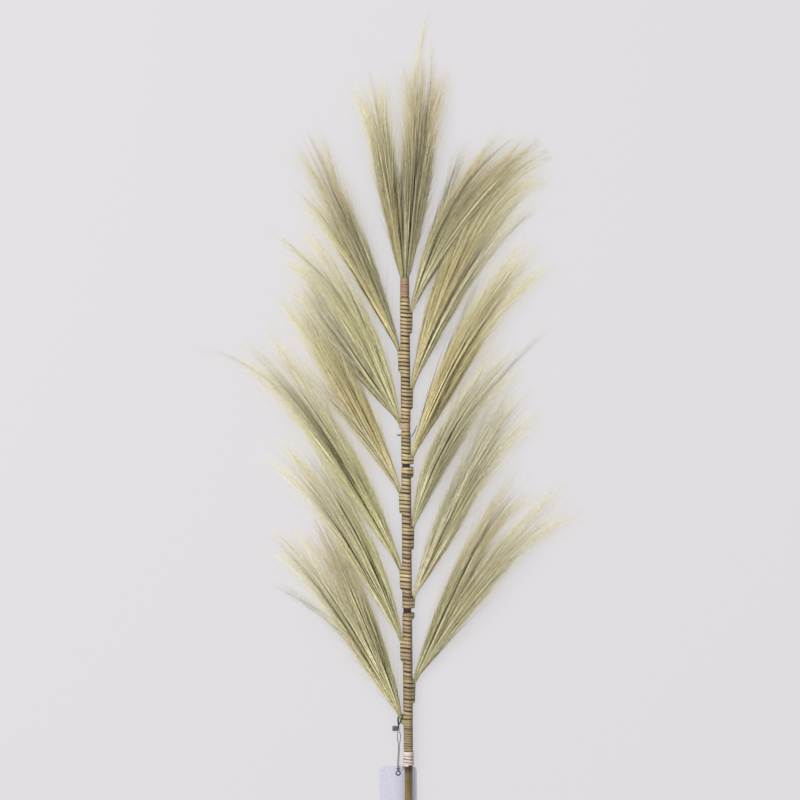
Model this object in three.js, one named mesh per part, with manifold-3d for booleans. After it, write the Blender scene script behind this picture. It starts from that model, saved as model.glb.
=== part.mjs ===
// A bundle of rayung grass: dried grass plumes bound along a straight stick with raffia, lying
// on a flat surface. Millimetres. The pieces are placed along the stick, which runs along +Y from
// its sawn end at y = 0 with its middle line over x = 0. +X is the right-hand side of the spray,
// and z = 0 is the surface that it lies on. Last of all the whole bundle is moved so that its
// origin is the middle of the ground that it covers.

import * as THREE from 'three';
import { mergeVertices } from 'three/addons/utils/BufferGeometryUtils.js';
import Module from 'manifold-3d';

const wasm = await Module();
wasm.setup();

// Driving sizes

const clearance = 0.3;            // left between pieces that touch
const stickDiameter = 10;
const stickLength = 866;
const stickChamfer = 0.8;         // at both ends
const stalkDiameter = 2.4;        // a plume's stalk, where it is bound to the stick
const boundLength = 30;           // how much of a stalk is under the raffia
const shortBoundLength = 12;      // on the two left plumes that are bound short
const loopPass = 1.5;             // room beside the lowest left stalk for the tag's loop
const windingThickness = 0.7;
const windingRamp = 4;            // its slope up on to the butt end of a stalk
const collarRise = 16.5;          // how far the top winding stands above the stick's end
const collarGrip = 7.5;           // and how far it comes down over it
const collarWall = 1.1;           // raffia round the two top stalks
const bandLength = 19;            // the white band at the foot of the winding
const bandThickness = 1.7;
const plumeHeight = 24;           // a plume's thickness at its fullest, lying down
const wispHeight = 4;
const tipHeight = 4;
const tipHalfWidth = 2.2;
const slimShare = 0.6;            // of its own width, kept by a slim lobe at its neck and tip
const touchDown = 0.22;           // share of a lobe's length where its underside comes down

const pokeBelow = 180;            // two dry ends poke out this far under the stick's top end
const thornLength = 6;
const thornRadius = 1.1;
const thornTipRadius = 0.5;
const strayRadius = 0.6;
const strayTipRadius = 0.35;

const tagWidth = 47;
const tagLength = 80;
const tagThickness = 0.6;
const tagCornerRadius = 6;
const eyeletRadius = 3.1;
const eyeletHoleRadius = 1.6;
const eyeletWall = 0.5;
const eyeletInset = 8.5;          // from the tag's top edge to its eyelet
const tagDrop = 1.5;              // from the white band down to the tag's top edge
const tagMiddleX = -13;           // the tag hangs to the left of the stick
const knotRadii = { x: 1.5, y: 2, z: 1.2 };
const stringDiameter = 0.9;       // one of the two strands
const loopDiameter = 1.2;
const clipSize = { x: 8.6, y: 6, z: 3 };
const clipRise = 27;              // from the foot of the winding to the clip's middle
const clipOverhang = 1.8;         // its right end, past the tag's middle line

const roundSides = 16;
const windingSides = 20;
const boreSides = 24;
const cordSides = 8;
const cordSteps = 20;
const twigSides = 6;
const cutOverrun = 1;             // a cutter stands this far out of what it cuts

// Worked out from them

const stickRadius = stickDiameter / 2;
const stalkRadius = stalkDiameter / 2;
const boreRadius = stickRadius + clearance;
const windingRadius = boreRadius + windingThickness;
const bandRadius = boreRadius + bandThickness;
const axisHeight = bandRadius;    // the band is the stick's lowest point
const stalkStart = stickRadius + clearance + stalkRadius;
const stalkExit = windingRadius + clearance + stalkRadius;

// The lengths of raffia, from the top down. An open turn shows the stick where one ends.
const bindings = [
  { name: 'binding_collar', length: collarRise + collarGrip, openTurn: 0 },
  { name: 'binding_6', length: 157, openTurn: 0 },
  { name: 'binding_5', length: 11, openTurn: 0 },
  { name: 'binding_4', length: 41, openTurn: 3 },
  { name: 'binding_3', length: 177, openTurn: 5 },
  { name: 'binding_2', length: 133, openTurn: 0 },
  { name: 'binding_1', length: 40, openTurn: 0 },
];

// The plumes. below is how far under the stick's top end the plume leaves the raffia. Each lobe
// starts there and runs for its length at its lean from the stick, in degrees, and has turned
// by its curl at the tip, most of it near the tip where bend is high. fullest is the share of
// the length where it is widest.
const plumes = [
  { name: 'plume_right_1', side: 1, below: 25, lobes: [
    { length: 232, lean: 19, curl: 33, bend: 2, halfWidth: 9.5, fullest: 0.6 },
    { length: 246, lean: 23.5, curl: 26, bend: 1, halfWidth: 6, fullest: 0.4 },
  ] },
  { name: 'plume_left_1', side: -1, below: 73.5, lobes: [
    { length: 295, lean: 21.5, curl: 4, bend: 1, halfWidth: 12, fullest: 0.5 },
    { length: 235, lean: 26, curl: 20, bend: 2, halfWidth: 6.5, fullest: 0.5 },
  ] },
  { name: 'plume_right_2', side: 1, below: 120, lobes: [
    { length: 325, lean: 20, curl: 42, bend: 3, halfWidth: 13.5, fullest: 0.42 },
    { length: 275, lean: 22, curl: 20, bend: 1, halfWidth: 10, fullest: 0.45 },
    { length: 330, lean: 27.5, curl: 33, bend: 2, halfWidth: 1.5, fullest: 0.5, wisp: true },
  ] },
  { name: 'plume_left_2', side: -1, below: 162, bound: shortBoundLength, lobes: [
    { length: 272, lean: 23, curl: 40, bend: 3, halfWidth: 16, fullest: 0.4 },
    { length: 222, lean: 35, curl: -3, bend: 1, halfWidth: 11, fullest: 0.45 },
  ] },
  { name: 'plume_right_3', side: 1, below: 205, lobes: [
    { length: 300, lean: 25, curl: 22, bend: 2, halfWidth: 14.5, fullest: 0.5 },
  ] },
  { name: 'plume_left_3', side: -1, below: 250, lobes: [
    { length: 295, lean: 28, curl: -1, bend: 1, halfWidth: 15, fullest: 0.45 },
    { length: 205, lean: 30, curl: 21, bend: 1, halfWidth: 5, fullest: 0.5 },
  ] },
  { name: 'plume_right_4', side: 1, below: 295, lobes: [
    { length: 260, lean: 17, curl: 28, bend: 1, halfWidth: 14, fullest: 0.5 },
    { length: 345, lean: 22, curl: 30, bend: 1, halfWidth: 1.5, fullest: 0.5, wisp: true },
  ] },
  { name: 'plume_left_4', side: -1, below: 345, lobes: [
    { length: 345, lean: 27, curl: 21, bend: 2, halfWidth: 16, fullest: 0.47 },
    { length: 384, lean: 30, curl: 49, bend: 3, halfWidth: 1.5, fullest: 0.5, wisp: true },
  ] },
  { name: 'plume_right_5', side: 1, below: 382, lobes: [
    { length: 275, lean: 21.5, curl: 13, bend: 2, halfWidth: 8, fullest: 0.5 },
    { length: 292, lean: 26, curl: 21, bend: 3, halfWidth: 14, fullest: 0.5 },
  ] },
  { name: 'plume_left_5', side: -1, below: 435, lobes: [
    { length: 300, lean: 26.5, curl: 22, bend: 2, halfWidth: 9.5, fullest: 0.45 },
    { length: 282, lean: 19, curl: 20, bend: 1, halfWidth: 9.5, fullest: 0.4 },
  ] },
  { name: 'plume_right_6', side: 1, below: 487, lobes: [
    { length: 285, lean: 24, curl: 24, bend: 3, halfWidth: 9.5, fullest: 0.35 },
    { length: 318, lean: 33, curl: 27, bend: 2, halfWidth: 13, fullest: 0.45 },
  ] },
  { name: 'plume_left_6', side: -1, below: 531, bound: shortBoundLength, pass: loopPass, lobes: [
    { length: 275, lean: 27, curl: 19, bend: 2, halfWidth: 13.5, fullest: 0.55 },
    { length: 258, lean: 19.5, curl: 6, bend: 1, halfWidth: 12.5, fullest: 0.45 },
    { length: 260, lean: 24.5, curl: 44, bend: 1, halfWidth: 1.8, fullest: 0.5, wisp: true },
  ] },
];

// The two plumes whose stalks stand in the collar on the stick's top end.
const topPlumes = [
  { name: 'plume_top_left', side: -1, lobes: [
    { length: 250, lean: 8.5, curl: 6, bend: 3, halfWidth: 10, fullest: 0.55 },
  ] },
  { name: 'plume_top_right', side: 1, lobes: [
    { length: 315, lean: 7.5, curl: -6, bend: 2, halfWidth: 18, fullest: 0.5 },
  ] },
];

const colours = {
  stick: 0x7a6a3c,
  raffia: 0xb79f78,
  band: 0xefe4d6,
  plume: 0xa8a274,
  card: 0xe6e4ee,
  dark: 0x3c3a38,
};

const bundle = new THREE.Group();

function material(colour, roughness) {
  return new THREE.MeshStandardMaterial({ color: colour, roughness, metalness: 0 });
}

function addPiece(name, geometry, colour, roughness = 0.85) {
  const mesh = new THREE.Mesh(geometry, material(colour, roughness));
  mesh.name = name;
  bundle.add(mesh);
  return mesh;
}

// A closed solid through rings of points, which all run the same way and hold as many points.
// Seen from the last ring's side, the points go anticlockwise.
function loft(rings) {
  const count = rings[0].length;
  const points = rings.flat();
  const index = [];
  for (let r = 0; r < rings.length - 1; r += 1) {
    for (let i = 0; i < count; i += 1) {
      const a = r * count + i;
      const b = r * count + (i + 1) % count;
      index.push(a, b, b + count, a, b + count, a + count);
    }
  }
  const last = (rings.length - 1) * count;
  for (let i = 1; i < count - 1; i += 1) {
    index.push(0, i + 1, i);
    index.push(last, last + i, last + i + 1);
  }
  const geometry = new THREE.BufferGeometry().setFromPoints(points);
  geometry.setIndex(index);
  return geometry;
}

function toSolid(geometry) {
  const bare = geometry.clone();
  bare.deleteAttribute('normal');
  bare.deleteAttribute('uv');
  const merged = mergeVertices(bare, 1e-4);
  return new wasm.Manifold(new wasm.Mesh({
    numProp: 3,
    vertProperties: new Float32Array(merged.attributes.position.array),
    triVerts: new Uint32Array(merged.index.array),
  }));
}

function toGeometry(solid) {
  const mesh = solid.getMesh();
  const geometry = new THREE.BufferGeometry();
  geometry.setAttribute('position', new THREE.BufferAttribute(mesh.vertProperties, 3));
  geometry.setIndex(new THREE.BufferAttribute(mesh.triVerts, 1));
  return geometry;
}

function joined(geometries) {
  return geometries.map(toSolid).reduce((whole, piece) => whole.add(piece));
}

// A round rod along Y between two heights on the stick's axis.
function rodAlongStick(radius, from, to, sides) {
  const rod = new THREE.CylinderGeometry(radius, radius, to - from, sides);
  rod.translate(0, (from + to) / 2, axisHeight);
  return rod;
}

// ---- stick ----

const sawnEdge = stickRadius - stickChamfer;
const stickProfile = [
  new THREE.Vector2(0, 0),
  new THREE.Vector2(sawnEdge, 0),
  new THREE.Vector2(stickRadius, stickChamfer),
  new THREE.Vector2(stickRadius, stickLength - stickChamfer),
  new THREE.Vector2(sawnEdge, stickLength),
  new THREE.Vector2(0, stickLength),
];
const stickGeometry = new THREE.LatheGeometry(stickProfile, roundSides);
const stick = addPiece('stick', stickGeometry, colours.stick, 0.7);
stick.position.z = axisHeight;

// ---- plumes ----

const sectionSides = 8;
const lobeSteps = 9;

function mix(a, b, share) {
  return a + (b - a) * share;
}

// 0 at the neck and the tip, 1 at the fullest place.
function fullness(t, fullest) {
  const share = t < fullest ? t / fullest : (1 - t) / (1 - fullest);
  return Math.sin(share * Math.PI / 2);
}

// The middle line of a lobe in plan, as points with the direction there.
function lobeLine(lobe, side, startX, startY) {
  const fine = 8;
  const steps = lobeSteps * fine;
  const stride = lobe.length / steps;
  const line = [];
  let x = startX;
  let y = startY;
  for (let i = 0; i <= steps; i += 1) {
    const turn = lobe.curl * (i / steps) ** lobe.bend;
    const angle = THREE.MathUtils.degToRad(lobe.lean + turn);
    const along = new THREE.Vector2(side * Math.sin(angle), Math.cos(angle));
    if (i % fine === 0) line.push({ x, y, along, t: i / steps });
    x += along.x * stride;
    y += along.y * stride;
  }
  return line;
}

// A ring round a point of the lobe: flat on its underside, upright across its direction.
function lobeRing(place, halfWidth, bottom, top) {
  const middle = (bottom + top) / 2;
  const halfHeight = (top - bottom) / 2;
  const flat = Math.cos(Math.PI / sectionSides);
  const ring = [];
  for (let i = 0; i < sectionSides; i += 1) {
    const angle = (i + 0.5) * 2 * Math.PI / sectionSides;
    const out = halfWidth * Math.cos(angle) / flat;
    ring.push(new THREE.Vector3(
      place.x - place.along.y * out,
      place.y + place.along.x * out,
      middle + halfHeight * Math.sin(angle) / flat,
    ));
  }
  return ring;
}

function lobeGeometry(lobe, side, startX, startY, neckRadius) {
  const fullHeight = lobe.wisp ? wispHeight : plumeHeight;
  const rings = lobeLine(lobe, side, startX, startY).map((place) => {
    const full = fullness(place.t, lobe.fullest);
    const early = place.t < lobe.fullest;
    const endHalfWidth = early ? neckRadius : Math.min(tipHalfWidth, lobe.halfWidth * slimShare);
    const endTop = early ? axisHeight + neckRadius : Math.min(tipHeight, fullHeight);
    const drop = Math.min(place.t / touchDown, 1);
    const bottom = (axisHeight - neckRadius) * (1 - drop) ** 1.5;
    const halfWidth = mix(endHalfWidth, Math.max(lobe.halfWidth, neckRadius * slimShare), full);
    return lobeRing(place, halfWidth, bottom, mix(endTop, fullHeight, full));
  });
  return loft(rings);
}

// The stalk, from its butt under the raffia to just past the neck where the lobes start.
function stalkGeometry(radius, butt, neck, overrun) {
  const reach = new THREE.Vector2(neck.x - butt.x, neck.y - butt.y).normalize();
  const stations = [butt, { x: neck.x + reach.x * overrun, y: neck.y + reach.y * overrun }];
  return loft(stations.map((station) => lobeRing(
    { x: station.x, y: station.y, along: reach },
    radius,
    axisHeight - radius,
    axisHeight + radius,
  )));
}

function sideStalk(plume) {
  const neckY = stickLength - plume.below;
  return {
    butt: { x: plume.side * stalkStart, y: neckY - (plume.bound ?? boundLength) },
    neck: { x: plume.side * (stalkExit + (plume.pass ?? 0)), y: neckY },
  };
}

for (const plume of plumes) {
  const { butt, neck } = sideStalk(plume);
  const pieces = plume.lobes.map(
    (lobe) => lobeGeometry(lobe, plume.side, neck.x, neck.y, stalkRadius),
  );
  pieces.push(stalkGeometry(stalkRadius, butt, neck, stalkRadius));
  addPiece(plume.name, toGeometry(joined(pieces)), colours.plume, 0.95);
}

// The two top stalks stand side by side in the collar.
const topStalkRadius = (boreRadius - clearance - clearance / 2) / 2;
const topStalkX = topStalkRadius + clearance / 2;
for (const plume of topPlumes) {
  const butt = { x: plume.side * topStalkX, y: stickLength + clearance };
  const neck = { x: butt.x, y: stickLength + collarRise };
  const pieces = plume.lobes.map(
    (lobe) => lobeGeometry(lobe, plume.side, neck.x, neck.y, topStalkRadius),
  );
  pieces.push(stalkGeometry(topStalkRadius, butt, neck, stalkRadius));
  addPiece(plume.name, toGeometry(joined(pieces)), colours.plume, 0.95);
}

// ---- raffia ----

// The outline of strip pulled tight round circles whose centres lie across the stick.
function beltRing(y, circles) {
  const ring = [];
  for (let i = 0; i < windingSides; i += 1) {
    const angle = -i * 2 * Math.PI / windingSides;
    const normal = new THREE.Vector2(Math.cos(angle), Math.sin(angle));
    const outer = circles.reduce((best, circle) => {
      const reach = circle.x * normal.x + circle.radius;
      return reach > best.x * normal.x + best.radius ? circle : best;
    });
    ring.push(new THREE.Vector3(
      outer.x + outer.radius * normal.x,
      y,
      axisHeight + outer.radius * normal.y,
    ));
  }
  return ring;
}

// The heights where the winding widens to take in a stalk, and what it goes round there.
function windingStations() {
  const cover = stalkRadius + clearance + windingThickness;
  const stations = [];
  for (const plume of plumes) {
    const { butt, neck } = sideStalk(plume);
    const slope = (neck.x - butt.x) / (neck.y - butt.y);
    const top = neck.y - clearance;
    stations.push({ y: butt.y - windingRamp, circles: [] });
    stations.push({ y: butt.y - clearance, circles: [{ x: butt.x, radius: cover }] });
    stations.push({ y: top, circles: [{ x: butt.x + slope * (top - butt.y), radius: cover }] });
    stations.push({ y: top + clearance / 2, circles: [] });
  }
  return stations.sort((a, b) => a.y - b.y);
}

function windingRings(from, to, radius) {
  const core = { x: 0, radius };
  const rings = [beltRing(from, [core])];
  for (const station of windingStations()) {
    if (station.y > from && station.y < to) rings.push(beltRing(station.y, [core, ...station.circles]));
  }
  rings.push(beltRing(to, [core]));
  return rings;
}

const bindingTop = stickLength + collarRise;
const bindingFoot = bindings.reduce((y, winding) => y - winding.length - winding.openTurn, bindingTop);
const collarFoot = bindingTop - bindings[0].length;
const stalkRoom = plumes.map((plume) => {
  const { butt, neck } = sideStalk(plume);
  const room = { x: butt.x, y: butt.y - clearance };
  return toSolid(stalkGeometry(stalkRadius + clearance, room, neck, stalkDiameter));
});

function hollowed(geometry, from, to) {
  const bore = rodAlongStick(boreRadius, from - cutOverrun, to + cutOverrun, boreSides);
  return toSolid(geometry).subtract(toSolid(bore));
}

const sideRings = windingRings(bindingFoot - cutOverrun, collarFoot + cutOverrun, windingRadius);
const sideWinding = stalkRoom.reduce(
  (winding, room) => winding.subtract(room),
  hollowed(loft(sideRings), bindingFoot - cutOverrun, collarFoot + cutOverrun),
);
const collarWinding = hollowed(
  rodAlongStick(boreRadius + collarWall, collarFoot, bindingTop, windingSides),
  collarFoot,
  bindingTop,
);

// Each length is the slice of the winding between its own two heights.
const slabWidth = 4 * (stalkExit + stalkDiameter);
let cursor = bindingTop;
for (const winding of bindings) {
  const top = cursor - clearance / 2;
  const foot = cursor - winding.length + clearance / 2;
  const slab = new THREE.BoxGeometry(slabWidth, top - foot, slabWidth);
  slab.translate(0, (top + foot) / 2, axisHeight);
  const whole = winding.name === 'binding_collar' ? collarWinding : sideWinding;
  addPiece(winding.name, toGeometry(whole.intersect(toSolid(slab))), colours.raffia, 0.8);
  cursor -= winding.length + winding.openTurn;
}

// The white band below the winding.
const bandTop = bindingFoot - clearance / 2;
const bandFoot = bandTop - bandLength;
const bandRod = rodAlongStick(bandRadius, bandFoot, bandTop, windingSides);
addPiece('white_band', toGeometry(hollowed(bandRod, bandFoot, bandTop)), colours.band, 0.8);

// ---- two dry ends that poke out of the winding ----

const pokeY = stickLength - pokeBelow;
const pokeX = windingRadius + clearance;

function taperedTwig(points, startRadius, endRadius) {
  const curve = new THREE.CatmullRomCurve3(points);
  const steps = points.length * 2;
  const rings = [];
  for (let i = 0; i <= steps; i += 1) {
    const t = i / steps;
    const centre = curve.getPoint(t);
    const along = curve.getTangent(t);
    const radius = mix(startRadius, endRadius, t);
    const across = new THREE.Vector3().crossVectors(new THREE.Vector3(0, 0, 1), along).normalize();
    const up = new THREE.Vector3().crossVectors(along, across);
    const ring = [];
    for (let k = 0; k < twigSides; k += 1) {
      const angle = k * 2 * Math.PI / twigSides;
      const point = centre.clone();
      point.addScaledVector(across, radius * Math.cos(angle));
      point.addScaledVector(up, radius * Math.sin(angle));
      ring.push(point);
    }
    rings.push(ring);
  }
  return loft(rings);
}

const thornPoints = [
  new THREE.Vector3(-pokeX, pokeY, axisHeight),
  new THREE.Vector3(-pokeX - thornLength / 2, pokeY + 0.3, axisHeight),
  new THREE.Vector3(-pokeX - thornLength, pokeY + 0.9, axisHeight),
];
addPiece('thorn', taperedTwig(thornPoints, thornRadius, thornTipRadius), colours.dark, 0.8);

const strayX = pokeX + strayRadius;
const strayPoints = [
  new THREE.Vector3(strayX, pokeY - 2, axisHeight),
  new THREE.Vector3(strayX + 2.6, pokeY + 2, axisHeight),
  new THREE.Vector3(strayX + 4.9, pokeY + 6.5, axisHeight + 0.5),
  new THREE.Vector3(strayX + 6.4, pokeY + 12, axisHeight + 1.5),
];
addPiece('stray_stem', taperedTwig(strayPoints, strayRadius, strayTipRadius), colours.dark, 0.8);

// ---- hang tag on its string ----

const tagTop = bandFoot - tagDrop;
const eyeletY = tagTop - eyeletInset;
const barrelRadius = eyeletHoleRadius + eyeletWall;

function roundedCard(width, length, radius) {
  const x = width / 2 - radius;
  const y = length / 2 - radius;
  const card = new THREE.Shape();
  card.absarc(x, y, radius, 0, Math.PI / 2);
  card.absarc(-x, y, radius, Math.PI / 2, Math.PI);
  card.absarc(-x, -y, radius, Math.PI, 1.5 * Math.PI);
  card.absarc(x, -y, radius, 1.5 * Math.PI, 2 * Math.PI);
  card.closePath();
  return card;
}

const card = roundedCard(tagWidth, tagLength, tagCornerRadius);
const cardHole = new THREE.Path();
cardHole.absarc(0, tagLength / 2 - eyeletInset, barrelRadius + clearance, 0, 2 * Math.PI, true);
card.holes.push(cardHole);
const cardGeometry = new THREE.ExtrudeGeometry(card, {
  depth: tagThickness,
  bevelEnabled: false,
  curveSegments: 5,
});
const hangTag = addPiece('hang_tag', cardGeometry, colours.card, 0.6);
hangTag.position.set(tagMiddleX, tagTop - tagLength / 2, 0);

const flangeFoot = tagThickness + clearance;
const flangeTop = flangeFoot + eyeletWall;
const eyeletProfile = [
  new THREE.Vector2(eyeletHoleRadius, 0),
  new THREE.Vector2(barrelRadius, 0),
  new THREE.Vector2(barrelRadius, flangeFoot),
  new THREE.Vector2(eyeletRadius, flangeFoot),
  new THREE.Vector2(eyeletRadius, flangeTop),
  new THREE.Vector2(eyeletHoleRadius, flangeTop),
  new THREE.Vector2(eyeletHoleRadius, 0),
];
const eyeletGeometry = new THREE.LatheGeometry(eyeletProfile, roundSides);
const eyelet = addPiece('tag_eyelet', eyeletGeometry, colours.dark, 0.5);
eyelet.rotation.x = Math.PI / 2;
eyelet.position.set(tagMiddleX, eyeletY, 0);

// The knot lies on the card against the eyelet, and two strands run from it up to the clip.
const knotY = eyeletY + eyeletRadius + clearance + knotRadii.y;
const knotZ = tagThickness + clearance + knotRadii.z;
const knot = addPiece('string_knot', new THREE.SphereGeometry(1, 10, 8), colours.dark, 0.8);
knot.scale.set(knotRadii.x, knotRadii.y, knotRadii.z);
knot.position.set(tagMiddleX, knotY, knotZ);

function cordAlong(points, diameter) {
  const section = new THREE.Shape();
  section.absarc(0, 0, diameter / 2, 0, 2 * Math.PI);
  return new THREE.ExtrudeGeometry(section, {
    extrudePath: new THREE.CatmullRomCurve3(points),
    steps: cordSteps,
    bevelEnabled: false,
    curveSegments: cordSides,
  });
}

const clipRight = tagMiddleX + clipOverhang;
const clipY = bindingFoot + clipRise;
const clipGeometry = new THREE.BoxGeometry(clipSize.x, clipSize.y, clipSize.z);
const clip = addPiece('tag_clip', clipGeometry, colours.dark, 0.5);
clip.position.set(clipRight - clipSize.x / 2, clipY, clipSize.z / 2);

// [x, y, z] from the eyelet's centre: off the knot, over the card's edge, side by side along the
// surface, and apart as they come up to the clip's foot.
const stringRoutes = {
  tag_string_left: [
    [-0.6, 7.6, 2.1],
    [-0.6, 9.5, 1.7],
    [-0.5, 12, 1.1],
    [-0.4, 15, 0.6],
    [-0.2, 18, 0.55],
    [0.0, 21, 0.55],
    [0.2, 24, 0.55],
    [0.4, 27, 0.55],
    [0.5, 30, 0.55],
    [0.5, 33, 0.55],
    [0.4, 36, 0.55],
    [0.1, 39, 0.55],
    [-0.3, 42, 0.55],
    [-0.6, 45, 0.6],
    [-0.7, 48, 0.8],
    [-0.6, 50.5, 1.1],
    [-0.5, 52.8, 1.4],
  ],
  tag_string_right: [
    [0.6, 7.6, 2.1],
    [0.6, 9.5, 1.7],
    [0.7, 12, 1.1],
    [0.8, 15, 0.6],
    [1.0, 18, 0.55],
    [1.2, 21, 0.55],
    [1.4, 24, 0.55],
    [1.6, 27, 0.55],
    [1.7, 30, 0.55],
    [1.8, 33, 0.55],
    [2.0, 36, 0.55],
    [2.4, 39, 0.55],
    [2.9, 42, 0.55],
    [3.3, 45, 0.6],
    [3.2, 48, 0.8],
    [2.4, 50.6, 1.1],
    [1.4, 52.7, 1.4],
  ],
};
for (const [name, route] of Object.entries(stringRoutes)) {
  const points = route.map(([x, y, z]) => new THREE.Vector3(tagMiddleX + x, eyeletY + y, z));
  addPiece(name, cordAlong(points, stringDiameter), colours.dark, 0.9);
}

// The loop goes from the clip under the lowest left plume's neck, up between it and the stick,
// and back over the winding on to the clip. [x, y, z] from the clip's upper right corner.
const loopRoute = [
  [-0.8, 0.4, 1.2],
  [-1.1, 4, 1.3],
  [-1.4, 7.5, 2.0],
  [-1.2, 11, 3.0],
  [0, 14.1, 3.9],
  [2.0, 15.3, 4.1],
  [3.8, 15.1, 5.0],
  [4.3, 14.8, 7.2],
  [4.1, 14.5, 9.4],
  [3.6, 13.1, 11.6],
  [2.2, 9.5, 11.2],
  [0.8, 5.5, 8.8],
  [-0.3, 2.3, 5.9],
  [-1.0, 0.1, 4.5],
  [-1.6, -1.9, 4.0],
];
const loopPoints = loopRoute.map(
  ([x, y, z]) => new THREE.Vector3(clipRight + x, clipY + clipSize.y / 2 + y, z),
);
addPiece('tag_loop', cordAlong(loopPoints, loopDiameter), colours.dark, 0.9);

// ---- the origin ----

const middle = new THREE.Box3().setFromObject(bundle, true).getCenter(new THREE.Vector3());
bundle.position.set(-middle.x, -middle.y, 0);

export default bundle;
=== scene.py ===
import math

import bpy
import numpy as np
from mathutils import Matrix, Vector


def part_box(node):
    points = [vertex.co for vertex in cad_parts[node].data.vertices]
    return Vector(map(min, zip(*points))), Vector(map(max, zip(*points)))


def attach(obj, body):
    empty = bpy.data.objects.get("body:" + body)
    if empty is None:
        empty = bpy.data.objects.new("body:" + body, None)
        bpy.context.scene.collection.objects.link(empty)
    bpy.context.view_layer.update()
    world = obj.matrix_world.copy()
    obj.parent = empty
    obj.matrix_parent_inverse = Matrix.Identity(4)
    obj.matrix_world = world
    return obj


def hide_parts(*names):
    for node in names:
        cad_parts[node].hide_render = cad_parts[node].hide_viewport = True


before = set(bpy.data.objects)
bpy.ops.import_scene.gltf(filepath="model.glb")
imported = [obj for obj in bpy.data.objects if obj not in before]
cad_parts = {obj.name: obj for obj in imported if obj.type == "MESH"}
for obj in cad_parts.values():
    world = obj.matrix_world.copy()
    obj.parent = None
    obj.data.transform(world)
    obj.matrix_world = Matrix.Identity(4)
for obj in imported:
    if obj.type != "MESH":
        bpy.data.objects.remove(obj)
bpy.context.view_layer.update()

# A bundle of dried rayung grass lying on a pale floor. Sizes are in millimetres and are measured
# like the bundle itself: x across from the stick's middle line, y up from its sawn end, z up.
mm = 0.001
stickLow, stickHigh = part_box("stick")
originX = (stickLow[0] + stickHigh[0]) / 2
originY = stickLow[1]
axisHeight = (stickLow[2] + stickHigh[2]) / 2 / mm
stickLength = (stickHigh[1] - stickLow[1]) / mm
stickRadius = (stickHigh[0] - stickLow[0]) / 2 / mm


def toFrame(points):
    # millimetres along the bundle -> metres in the shared frame
    return np.asarray(points, float) * mm + np.array([originX, originY, 0.0])


def boxOf(node):
    # a node's box, in the bundle's own millimetres
    low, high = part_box(node)
    shift = np.array([originX, originY, 0.0])
    return (np.array(low) - shift) / mm, (np.array(high) - shift) / mm


camera = {
    "over": (-7.0, 730.0),     # the place it looks straight down on
    "seen": 1000.0,            # width of the view at the height of the stick
    "lens": 85.0,
    "roll": -0.456,            # degrees
}

cameraData = bpy.data.cameras.new("camera")
cameraData.lens = camera["lens"]
cameraData.sensor_width = 36.0
cameraData.clip_end = 50.0
cameraObject = bpy.data.objects.new("camera", cameraData)
bpy.context.collection.objects.link(cameraObject)
reach = camera["seen"] / 2 * camera["lens"] / (cameraData.sensor_width / 2)
cameraObject.location = toFrame([*camera["over"], axisHeight + reach])
cameraObject.rotation_euler = (0.0, 0.0, math.radians(camera["roll"]))
bpy.context.scene.camera = cameraObject
print("camera set", round(reach), "mm above the stick")


def meshPiece(name, skin, material, replaces=(), tint=None, bakeMap=None):
    # skin is points in the bundle's millimetres, then arrays of quads and of triangles
    mesh = bpy.data.meshes.new(name)
    points, *faceSets = skin
    points = toFrame(points).astype(np.float32)
    mesh.vertices.add(len(points))
    mesh.vertices.foreach_set("co", points.ravel())
    faceSets = [np.asarray(faces, np.int32) for faces in faceSets if len(faces)]
    corners = np.concatenate([faces.ravel() for faces in faceSets])
    sizes = np.concatenate([np.full(len(faces), faces.shape[1]) for faces in faceSets])
    starts = np.concatenate([[0], np.cumsum(sizes)[:-1]]).astype(np.int32)
    mesh.loops.add(len(corners))
    mesh.loops.foreach_set("vertex_index", corners)
    mesh.polygons.add(len(sizes))
    mesh.polygons.foreach_set("loop_start", starts)
    mesh.update(calc_edges=True)
    mesh.shade_smooth()
    if tint is not None:
        layer = mesh.color_attributes.new("tint", "FLOAT_COLOR", "POINT")
        rgba = np.ones((len(points), 4), np.float32)
        rgba[:, :3] = tint
        layer.data.foreach_set("color", rgba.ravel())
    if bakeMap is not None:
        uv = mesh.uv_layers.new(name="OFBake")
        uv.data.foreach_set("uv", np.asarray(bakeMap, np.float32).ravel())
    mesh.materials.append(material)
    piece = bpy.data.objects.new(name, mesh)
    bpy.context.collection.objects.link(piece)
    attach(piece, "root")
    if replaces:
        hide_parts(*replaces)
    return piece


def smoothStep(low, high, value):
    share = np.clip((value - low) / (high - low), 0, 1)
    return share * share * (3 - 2 * share)


def linear(red, green, blue):
    # a colour as it is read off a screen -> the renderer's own
    shares = np.array([red, green, blue]) / 255
    return np.where(shares < 0.04045, shares / 12.92, ((shares + 0.055) / 1.055) ** 2.4)


def spline(points, perSpan=8):
    # a smooth line through the points
    points = np.asarray(points, float)
    ends = [2 * points[0] - points[1], *points, 2 * points[-1] - points[-2]]
    line = []
    for a, b, c, d in zip(ends[:-3], ends[1:-2], ends[2:-1], ends[3:]):
        for t in np.arange(perSpan) / perSpan:
            line.append(0.5 * (2 * b + (c - a) * t + (2 * a - 5 * b + 4 * c - d) * t ** 2
                               + (3 * b - a - 3 * c + d) * t ** 3))
    line.append(points[-1])
    return np.array(line)


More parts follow.
